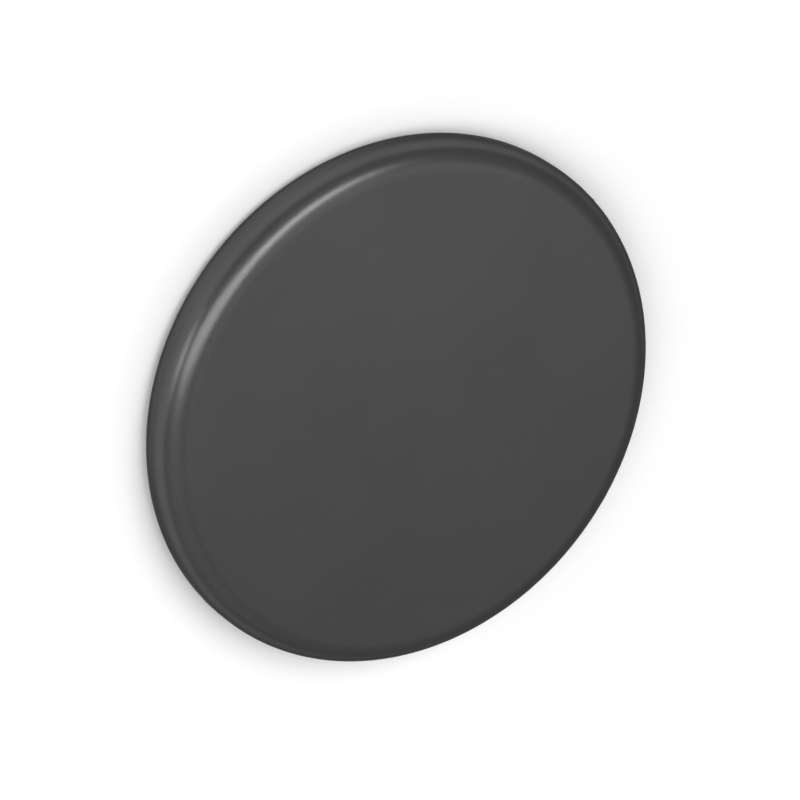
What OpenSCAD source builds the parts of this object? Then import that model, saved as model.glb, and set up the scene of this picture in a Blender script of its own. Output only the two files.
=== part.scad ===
// Thin disc magnet: two flat pole faces joined by a rim whose edges are
// rounded all the way round, in one satin dark grey coat.
// Millimetres. The disc lies on its lower pole face: the origin is the
// centre of that face, and +Z runs along the disc's axis.

/* [Disc] */
// Outside diameter, over the coat
disc_diameter = 20.2; // [6:0.1:60]
// Thickness from pole face to pole face, over the coat
disc_thickness = 2.2; // [1:0.1:10]

/* [Edges] */
// Radius of the rounding between each pole face and the rim
edge_radius = 0.95; // [0.1:0.01:2.5]

/* [Hidden] */
// Shortest straight band that stays on the rim between its two roundings
least_band = 0.1;
// Facets round the disc, and round a full circle of the edge rounding
disc_facets = 180;
edge_facets = 96;

disc_radius = disc_diameter / 2;
// A rounding can't be larger than the thickness leaves room for
rounding = min(edge_radius, (disc_thickness - least_band) / 2);
band_height = disc_thickness - 2 * rounding;

// Half of the disc's section, from the axis out to the rim: the full
// thickness as far as the flat faces go, the rim's straight band, and a
// quarter round at each edge.
module half_section() {
    square([disc_radius - rounding, disc_thickness]);
    translate([0, rounding])
        square([disc_radius, band_height]);
    for (z = [rounding, disc_thickness - rounding])
        translate([disc_radius - rounding, z])
            circle(r = rounding, $fn = edge_facets);
}

module magnet_disc() {
    color([0.30, 0.30, 0.295])
        rotate_extrude($fn = disc_facets)
            half_section();
}

magnet_disc();
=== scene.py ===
"""The visual model of a thin disc magnet that lies on one of its pole faces.

The disc is one turned form: two flat pole faces and a rim whose edges are rounded, under one
satin dark grey coat. Lengths are in metres and in the part's own frame: +Z along the disc's
axis, the origin at the centre of the lower pole face.
"""

import logging
import math
from dataclasses import dataclass
from enum import Enum

import bmesh
import bpy
from mathutils import Matrix, Vector


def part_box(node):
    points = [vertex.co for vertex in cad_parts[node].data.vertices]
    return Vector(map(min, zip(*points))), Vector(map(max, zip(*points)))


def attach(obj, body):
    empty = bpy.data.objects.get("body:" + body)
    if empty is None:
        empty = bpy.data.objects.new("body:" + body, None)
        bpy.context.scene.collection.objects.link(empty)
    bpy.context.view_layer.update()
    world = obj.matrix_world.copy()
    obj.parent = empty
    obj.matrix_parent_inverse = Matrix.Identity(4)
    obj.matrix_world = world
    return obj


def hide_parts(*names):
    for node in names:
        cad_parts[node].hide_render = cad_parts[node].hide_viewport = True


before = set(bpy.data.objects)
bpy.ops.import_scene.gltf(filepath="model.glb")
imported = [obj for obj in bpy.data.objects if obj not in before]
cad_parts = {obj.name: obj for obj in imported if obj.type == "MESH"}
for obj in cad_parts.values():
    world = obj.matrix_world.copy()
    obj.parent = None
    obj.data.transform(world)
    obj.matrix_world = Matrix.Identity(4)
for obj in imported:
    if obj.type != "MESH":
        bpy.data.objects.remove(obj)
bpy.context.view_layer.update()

DISC_NODE = "magnet_disc"
MM = 0.001
FULL_TURN = 2 * math.pi
# Heights that differ by less than this count as one level
SAME_LEVEL = 0.0001 * MM
# Corners nearer to each other than this are one corner
SAME_PLACE = 0.0005 * MM

log = logging.getLogger("disc_magnet")


def grey(level: float) -> tuple[float, float, float, float]:
    """Returns the opaque neutral colour of a linear brightness, where 1 is white."""
    return (level, level, level, 1.0)


def direction(bearing: float, height: float) -> Vector:
    """Turns a bearing and a height into a unit vector.

    Args:
        bearing: Angle in the floor's plane, in degrees from +X towards +Y.
        height: Angle above the floor, in degrees.

    Returns:
        The unit vector from the disc in that direction.
    """
    around, above = math.radians(bearing), math.radians(height)
    return Vector(
        (math.cos(around) * math.cos(above), math.sin(around) * math.cos(above), math.sin(above))
    )


class MaskRule(Enum):
    """Ways of making one mask out of two."""

    BOTH = "MULTIPLY"
    EITHER = "MAXIMUM"


class ShaderTree:
    """A node tree with short calls that add nodes and join them."""

    def __init__(self, tree: bpy.types.NodeTree) -> None:
        """Takes over a tree and empties it.

        Args:
            tree: The node tree of a material or a world.
        """
        self.tree = tree
        self.tree.nodes.clear()

    def add(self, kind: str, label: str, **settings: object) -> bpy.types.Node:
        """Adds one node.

        Args:
            kind: Blender's type name of the node, without its leading "ShaderNode".
            label: What the node does, in plain words.
            **settings: Properties of the node, by name.

        Returns:
            The new node.
        """
        node = self.tree.nodes.new("ShaderNode" + kind)
        node.label = label
        for name, value in settings.items():
            setattr(node, name, value)
        return node

    def feed(self, node: bpy.types.Node, **values: object) -> bpy.types.Node:
        """Sets or links inputs of a node.

        Args:
            node: The node to feed.
            **values: Input names with underscores for spaces, each with a plain value or with
                the output socket that drives it. Of inputs with one name, the first is fed.

        Returns:
            The same node.
        """
        for name, value in values.items():
            socket = node.inputs[name.replace("_", " ")]
            if isinstance(value, bpy.types.NodeSocket):
                self.tree.links.new(value, socket)
            else:
                socket.default_value = value
        return node

    def combine(
        self,
        rule: MaskRule,
        label: str,
        first: bpy.types.NodeSocket,
        second: bpy.types.NodeSocket,
    ) -> bpy.types.NodeSocket:
        """Makes one mask out of two.

        Args:
            rule: How they are combined.
            label: What the new mask marks.
            first: One mask.
            second: The other mask.

        Returns:
            The new mask.
        """
        node = self.add("Math", label, operation=rule.value)
        self._link_in_order(node, first, second)
        return node.outputs["Value"]

    def mix(
        self,
        label: str,
        mask: bpy.types.NodeSocket,
        off: bpy.types.NodeSocket,
        on: bpy.types.NodeSocket,
    ) -> bpy.types.NodeSocket:
        """Mixes two shaders by a mask.

        Args:
            label: What the mixture is.
            mask: The mask.
            off: The shader where the mask is 0.
            on: The shader where it is 1.

        Returns:
            The mixed shader.
        """
        node = self.add("MixShader", label)
        self._link_in_order(node, mask, off, on)
        return node.outputs["Shader"]

    def _link_in_order(self, node: bpy.types.Node, *outputs: bpy.types.NodeSocket) -> None:
        """Links outputs to a node's inputs, the first to the first and so on.

        Args:
            node: The node that takes them.
            *outputs: The sockets that give the values.
        """
        for output, socket in zip(outputs, node.inputs):
            self.tree.links.new(output, socket)


@dataclass(frozen=True)
class Pattern:
    """A noise pattern on the disc's own coordinates.

    Attributes:
        label: What the pattern stands for.
        size: Width of its features.
        octaves: Number of finer octaves laid over them.
        fade: Strength of each octave, as a share of the one before it.
    """

    label: str
    size: float
    octaves: float
    fade: float = 0.5

    def lay(self, tree: ShaderTree, place: bpy.types.NodeSocket) -> bpy.types.NodeSocket:
        """Adds the pattern to a material.

        Args:
            tree: The tree that it goes in.
            place: The coordinates that it is laid on.

        Returns:
            The pattern's value, from 0 to 1.
        """
        noise = tree.add("TexNoise", self.label)
        tree.feed(
            noise, Vector=place, Scale=1 / self.size, Detail=self.octaves, Roughness=self.fade
        )
        return noise.outputs["Fac"]


@dataclass(frozen=True)
class SatinCoat:
    """The thin, hard, satin coat over the whole magnet: dark metal flake in a flat grey binder.

    Attributes:
        colour: Linear colour of the coat.
        flake: Share of the surface that is metal flake, which gives the coat its sheen.
        glancing: Brightness of the flake at a glancing angle, where the flat binder hides it.
        binder_gloss: Gloss of the binder itself.
        clouds: The slow clouding of the colour.
        cloud_depth: How far the clouding darkens or lightens the colour, as a share.
        ripples: The low ripples that a sprayed coat dries with.
        ripple_height: Height of the ripples.
        grain: The finest grain, which moves the surface and its roughness.
        grain_height: Height of the grain.
        roughness: Mean roughness of the satin surface.
        roughness_spread: How far the roughness wanders to each side of its mean.
    """

    colour: tuple[float, float, float] = (0.085, 0.085, 0.084)
    flake: float = 0.70
    glancing: float = 0.3
    binder_gloss: float = 0.0
    clouds: Pattern = Pattern("slow clouding", size=3.5 * MM, octaves=3.0)
    cloud_depth: float = 0.08
    ripples: Pattern = Pattern("sprayed ripples", size=0.28 * MM, octaves=1.0)
    ripple_height: float = 0.0030 * MM
    grain: Pattern = Pattern("fine grain", size=0.10 * MM, octaves=2.0)
    grain_height: float = 0.0030 * MM
    roughness: float = 0.31
    roughness_spread: float = 0.03

    def make(self) -> bpy.types.Material:
        """Builds the coat's material.

        Returns:
            The material, patterned on the piece's own Object coordinates.
        """
        material = bpy.data.materials.new("satin_coat")
        material.use_nodes = True
        tree = ShaderTree(material.node_tree)
        place = tree.add("TexCoord", "where on the disc").outputs["Object"]
        clouds = self.clouds.lay(tree, place)
        ripples = self.ripples.lay(tree, place)
        grain = self.grain.lay(tree, place)

        shade = self._wander(tree, "clouding to brightness", clouds, 1.0, self.cloud_depth)
        tone = tree.add("VectorMath", "clouded colour", operation="SCALE")
        tree.feed(tone, Vector=self.colour, Scale=shade)
        rippled = tree.add("Bump", "rippled surface")
        tree.feed(rippled, Strength=1.0, Distance=self.ripple_height, Height=ripples)
        grained = tree.add("Bump", "grained surface")
        tree.feed(grained, Strength=1.0, Distance=self.grain_height, Height=grain)
        tree.feed(grained, Normal=rippled.outputs["Normal"])

        coat = tree.add("BsdfPrincipled", "satin coat")
        tree.feed(
            coat,
            Base_Color=tone.outputs["Vector"],
            Roughness=self._wander(
                tree, "grain to roughness", grain, self.roughness, self.roughness_spread
            ),
            Normal=grained.outputs["Normal"],
            Metallic=self.flake,
            Specular_Tint=grey(self.glancing),
            Specular_IOR_Level=self.binder_gloss,
        )
        tree.feed(tree.add("OutputMaterial", "surface"), Surface=coat.outputs["BSDF"])
        return material

    @staticmethod
    def _wander(
        tree: ShaderTree, label: str, pattern: bpy.types.NodeSocket, mean: float, spread: float
    ) -> bpy.types.NodeSocket:
        """Turns a pattern into a value that wanders about its mean.

        Args:
            tree: The tree that the node goes in.
            label: What is turned into what.
            pattern: The pattern, from 0 to 1.
            mean: The value's mean.
            spread: How far it wanders to each side.

        Returns:
            The value.
        """
        ranged = tree.add("MapRange", label)
        tree.feed(ranged, Value=pattern, To_Min=mean - spread, To_Max=mean + spread)
        return ranged.outputs["Result"]


@dataclass
class MagnetDisc:
    """The whole magnet: a turned disc with rounded edges.

    Attributes:
        radius: Outside radius, over the coat.
        thickness: Height from pole face to pole face.
        edge_radius: Radius of the rounding between each pole face and the rim.
        turns: Number of steps that the section is spun round in.
        edge_steps: Number of steps in each edge's quarter round.
        margin: Width of the ring of small faces that keeps the flat faces' shading flat.
    """

    radius: float
    thickness: float
    edge_radius: float
    turns: int = 360
    edge_steps: int = 32
    margin: float = 0.05 * MM

    @classmethod
    def from_node(cls, node: str) -> "MagnetDisc":
        """Reads the disc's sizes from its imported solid.

        Args:
            node: Name of the disc's node in the frame.

        Returns:
            A disc with the radius, thickness and edge rounding of that solid.
        """
        low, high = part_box(node)
        face_edge = max(
            vertex.co.xy.length
            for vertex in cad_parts[node].data.vertices
            if math.isclose(vertex.co.z, high.z, abs_tol=SAME_LEVEL)
        )
        radius = (high.x - low.x) / 2
        return cls(radius=radius, thickness=high.z - low.z, edge_radius=radius - face_edge)

    def build(self) -> bpy.types.Object:
        """Turns the disc's section into a closed mesh.

        Returns:
            The disc, in its place on the frame.
        """
        bm = bmesh.new()
        self._section(bm)
        bmesh.ops.spin(
            bm,
            geom=[*bm.verts, *bm.edges],
            cent=(0, 0, 0),
            axis=(0, 0, 1),
            angle=FULL_TURN,
            steps=self.turns,
            use_merge=True,
        )
        bmesh.ops.remove_doubles(bm, verts=bm.verts, dist=SAME_PLACE)
        bmesh.ops.recalc_face_normals(bm, faces=bm.faces)
        for face in bm.faces:
            face.smooth = True
        mesh = bpy.data.meshes.new("coated_disc")
        bm.to_mesh(mesh)
        bm.free()
        disc = bpy.data.objects.new("coated_disc", mesh)
        bpy.context.scene.collection.objects.link(disc)
        return disc

    def dress(self, disc: bpy.types.Object, coat: SatinCoat) -> None:
        """Coats the disc and sets it on the frame in place of its plain solid.

        Args:
            disc: The disc's object.
            coat: The finish that it gets.
        """
        disc.data.materials.append(coat.make())
        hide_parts(DISC_NODE)
        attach(disc, "root")

    def _section(self, bm: bmesh.types.BMesh) -> None:
        """Draws half of the disc's section in the XZ plane, from axis to rim and back.

        Args:
            bm: The empty mesh that it is drawn in.
        """
        outline = [(0, 0), (self.radius, 0), (self.radius, self.thickness), (0, self.thickness)]
        corners = [bm.verts.new((x, 0, z)) for x, z in outline]
        lower_face, _, upper_face = [bm.edges.new(pair) for pair in zip(corners, corners[1:])]
        _, lower_corner, upper_corner, _ = corners
        inset = self.edge_radius + self.margin
        for side, corner in ((lower_face, lower_corner), (upper_face, upper_corner)):
            bmesh.utils.edge_split(side, corner, inset / self.radius)
        bmesh.ops.bevel(
            bm,
            geom=[lower_corner, upper_corner],
            affect="VERTICES",
            offset_type="OFFSET",
            offset=self.edge_radius,
            segments=self.edge_steps,
            profile=0.5,
            material=-1,
        )


@dataclass(frozen=True)
class Softbox:
    """A soft oval lamp that stands round the disc and faces it.

    Attributes:
        name: What the lamp is for.
        bearing: Direction of the lamp from the disc, in degrees from +X towards +Y.
        height: Angle of the lamp above the floor, in degrees.
        size: Width and height of its diffuser.
        glow: Radiance of the diffuser, where 1 is white.
        tilt: Turn of the diffuser about its own axis, in degrees.
        distance: Distance from the disc.
    """

    name: str
    bearing: float
    height: float
    size: tuple[float, float]
    glow: float
    tilt: float = 0.0
    distance: float = 0.6

    def place(self, target: Vector) -> bpy.types.Object:
        """Stands the lamp in the studio.

        Args:
            target: The point that it faces.

        Returns:
            The lamp's object.
        """
        light = bpy.data.lights.new(self.name, "AREA")
        light.shape = "ELLIPSE"
        light.size, light.size_y = self.size
        light.energy = self.glow * math.pi * self._area()
        lamp = bpy.data.objects.new(self.name, light)
        lamp.visible_camera = False
        away = direction(self.bearing, self.height)
        turn = away.to_track_quat("Z", "Y").to_matrix() @ Matrix.Rotation(
            math.radians(self.tilt), 3, "Z"
        )
        lamp.matrix_world = Matrix.Translation(target + away * self.distance) @ turn.to_4x4()
        bpy.context.scene.collection.objects.link(lamp)
        return lamp

    def _area(self) -> float:
        """Returns the area of the oval diffuser."""
        width, height = self.size
        return math.pi * width * height / 4


@dataclass(frozen=True)
class Surroundings:
    """The room round the table: white at the horizon, dim just above it and paler overhead.

    Attributes:
        levels: Pairs of a height, as the sine of its angle above the floor, and the brightness
            there, where 1 is white.
    """

    levels: tuple[tuple[float, float], ...] = ((0.03, 1.0), (0.08, 0.16), (0.80, 0.34))

    def light(self) -> None:
        """Makes the world and takes it into use."""
        world = bpy.data.worlds.new("surroundings")
        bpy.context.scene.world = world
        world.use_nodes = True
        tree = ShaderTree(world.node_tree)
        towards = tree.add("TexCoord", "direction").outputs["Generated"]
        rise = tree.feed(tree.add("SeparateXYZ", "height above the floor"), Vector=towards)
        graded = tree.feed(tree.add("ValToRGB", "horizon to overhead"), Fac=rise.outputs["Z"])
        self._grade(graded.color_ramp)
        glow = tree.feed(tree.add("Background", "glow"), Color=graded.outputs["Color"])
        tree.feed(tree.add("OutputWorld", "surroundings"), Surface=glow.outputs["Background"])

    def _grade(self, ramp: bpy.types.ColorRamp) -> None:
        """Sets a ramp's stops to the brightness at each height.

        Args:
            ramp: The ramp to set.
        """
        ramp.interpolation = "EASE"
        while len(ramp.elements) < len(self.levels):
            ramp.elements.new(1.0)
        for stop, (height, brightness) in zip(ramp.elements, self.levels):
            stop.position = height
            stop.color = grey(brightness)


@dataclass(frozen=True)
class Floor:
    """A plain pale floor just under the disc.

    Attributes:
        radius: Radius of the floor.
        sides: Number of sides of its outline.
        gap: How far it lies under the disc, so that the two don't share a plane.
        reflectance: Share of the light that its matt paint gives back.
        plain_from: Distance from the disc's axis at which it starts to turn plain white to the
            eye.
        plain_by: Distance from the disc's axis beyond which it is plain white to the eye.
    """

    radius: float = 4.0
    sides: int = 64
    gap: float = 0.01 * MM
    reflectance: float = 0.82
    plain_from: float = 0.02
    plain_by: float = 0.05

    def lay(self) -> bpy.types.Object:
        """Lays the floor.

        Returns:
            The floor's object.
        """
        bm = bmesh.new()
        bmesh.ops.create_circle(bm, cap_ends=True, segments=self.sides, radius=self.radius)
        bmesh.ops.translate(bm, verts=bm.verts, vec=(0, 0, -self.gap))
        mesh = bpy.data.meshes.new("floor")
        bm.to_mesh(mesh)
        bm.free()
        mesh.materials.append(self._paint())
        floor = bpy.data.objects.new("floor", mesh)
        bpy.context.scene.collection.objects.link(floor)
        return floor

    def _paint(self) -> bpy.types.Material:
        """Makes the matt paint, which is plain white to the eye far from the disc.

        Returns:
            The floor's material.
        """
        material = bpy.data.materials.new("floor_paint")
        material.use_nodes = True
        tree = ShaderTree(material.node_tree)
        matt = tree.feed(tree.add("BsdfDiffuse", "matt paint"), Color=grey(self.reflectance))
        white = tree.feed(tree.add("Emission", "plain white"), Color=grey(1.0), Strength=1.0)
        clear = tree.add("BsdfTransparent", "clear from below")
        plain = tree.combine(
            MaskRule.BOTH, "plain where it is seen", self._seen(tree), self._farness(tree)
        )
        top = tree.mix(
            "lit near the disc, plain further off",
            plain,
            matt.outputs["BSDF"],
            white.outputs["Emission"],
        )
        under = tree.add("NewGeometry", "side of the floor").outputs["Backfacing"]
        shown = tree.mix("paint on top only", under, top, clear.outputs["BSDF"])
        tree.feed(tree.add("OutputMaterial", "surface"), Surface=shown)
        return material

    @staticmethod
    def _seen(tree: ShaderTree) -> bpy.types.NodeSocket:
        """Tells the rays by which the floor is seen from those by which it only gives light.

        Args:
            tree: The tree that the nodes go in.

        Returns:
            1 on rays from the eye, from a glossy surface or through glass, and 0 on others.
        """
        rays = tree.add("LightPath", "kind of ray").outputs
        gloss = tree.combine(
            MaskRule.EITHER, "eye or gloss", rays["Is Camera Ray"], rays["Is Glossy Ray"]
        )
        return tree.combine(MaskRule.EITHER, "or glass", gloss, rays["Is Transmission Ray"])

    def _farness(self, tree: ShaderTree) -> bpy.types.NodeSocket:
        """Grades the floor by its distance from the disc's axis.

        Args:
            tree: The tree that the nodes go in.

        Returns:
            0 near the disc, rising to 1 far from it.
        """
        place = tree.add("TexCoord", "where on the floor").outputs["Object"]
        away = tree.add("VectorMath", "distance from the axis", operation="LENGTH")
        tree.feed(away, Vector=place)
        grade = tree.add("MapRange", "near to far", interpolation_type="SMOOTHSTEP")
        tree.feed(
            grade,
            Value=away.outputs["Value"],
            From_Min=self.plain_from,
            From_Max=self.plain_by,
        )
        return grade.outputs["Result"]


@dataclass(frozen=True)
class Studio:
    """The floor, the surroundings and the lamps.

    Attributes:
        floor: The floor.
        surroundings: The world round it.
        lamps: The lamps: two large boxes and a small low one, and two dim cards.
    """

    floor: Floor = Floor()
    surroundings: Surroundings = Surroundings()
    lamps: tuple[Softbox, ...] = (
        Softbox("top_box", bearing=91, height=58, size=(0.40, 0.18), glow=7.7, tilt=23),
        Softbox("side_box", bearing=156, height=55.5, size=(0.33, 0.64), glow=4.8, tilt=33),
        Softbox("low_box", bearing=168, height=9, size=(0.21, 0.17), glow=6.4),
        Softbox("near_card", bearing=-5, height=70, size=(0.082, 0.082), glow=0.67, distance=0.09),
        Softbox("room_card", bearing=235, height=38, size=(0.84, 0.56), glow=0.22),
    )

    def build(self, target: Vector) -> None:
        """Lays the floor, lights the surroundings and places the lamps.

        Args:
            target: The point that the lamps face.
        """
        log.info("stage: %s", self.floor.lay().name)
        self.surroundings.light()
        for lamp in self.lamps:
            log.info("lamp: %s", lamp.place(target).name)


@dataclass(frozen=True)
class Eye:
    """The camera.

    Attributes:
        bearing: Direction of the camera from the disc, in degrees from +X towards +Y.
        height: Angle of the camera above the floor, in degrees.
        reach: Distance from the disc, in disc radii.
        share: The disc's diameter as a share of the picture's width.
        nearest: Distance from which on the camera sees things, in disc radii.
        farthest: Distance up to which it sees them.
    """

    bearing: float = 137.0
    height: float = 52.6
    reach: float = 24.1
    share: float = 0.70
    nearest: float = 0.1
    farthest: float = 10.0

    def place(self, target: Vector, radius: float) -> bpy.types.Object:
        """Makes the camera and takes it into use, with the picture's top towards +Y.

        Args:
            target: The point at the middle of the picture.
            radius: Radius of the disc.

        Returns:
            The camera's object.
        """
        camera = bpy.data.cameras.new("eye")
        camera.lens = camera.sensor_width * self.share * self.reach / 2
        camera.clip_start = self.nearest * radius
        camera.clip_end = self.farthest
        eye = bpy.data.objects.new("eye", camera)
        back = direction(self.bearing, self.height)
        right = Vector((0, 1, 0)).cross(back).normalized()
        axes = Matrix((right, back.cross(right), back)).transposed()
        eye.matrix_world = Matrix.Translation(target + back * self.reach * radius) @ axes.to_4x4()
        bpy.context.scene.collection.objects.link(eye)
        bpy.context.scene.camera = eye
        return eye


def main() -> None:
    """Builds the magnet, then the studio round it and the camera."""
    logging.basicConfig(level=logging.INFO, format="%(name)s: %(message)s")
    bpy.context.scene.view_settings.view_transform = "Standard"

    magnet = MagnetDisc.from_node(DISC_NODE)
    disc = magnet.build()
    magnet.dress(disc, SatinCoat())
    log.info(
        "%s: %.2f mm across, %.2f mm thick, edges rounded to %.2f mm, %d faces",
        disc.name,
        2 * magnet.radius / MM,
        magnet.thickness / MM,
        magnet.edge_radius / MM,
        len(disc.data.polygons),
    )

    middle = Vector((0, 0, magnet.thickness / 2))
    Studio().build(middle)
    log.info("camera: %s", Eye().place(middle, magnet.radius).name)


if __name__ == "__main__":
    main()
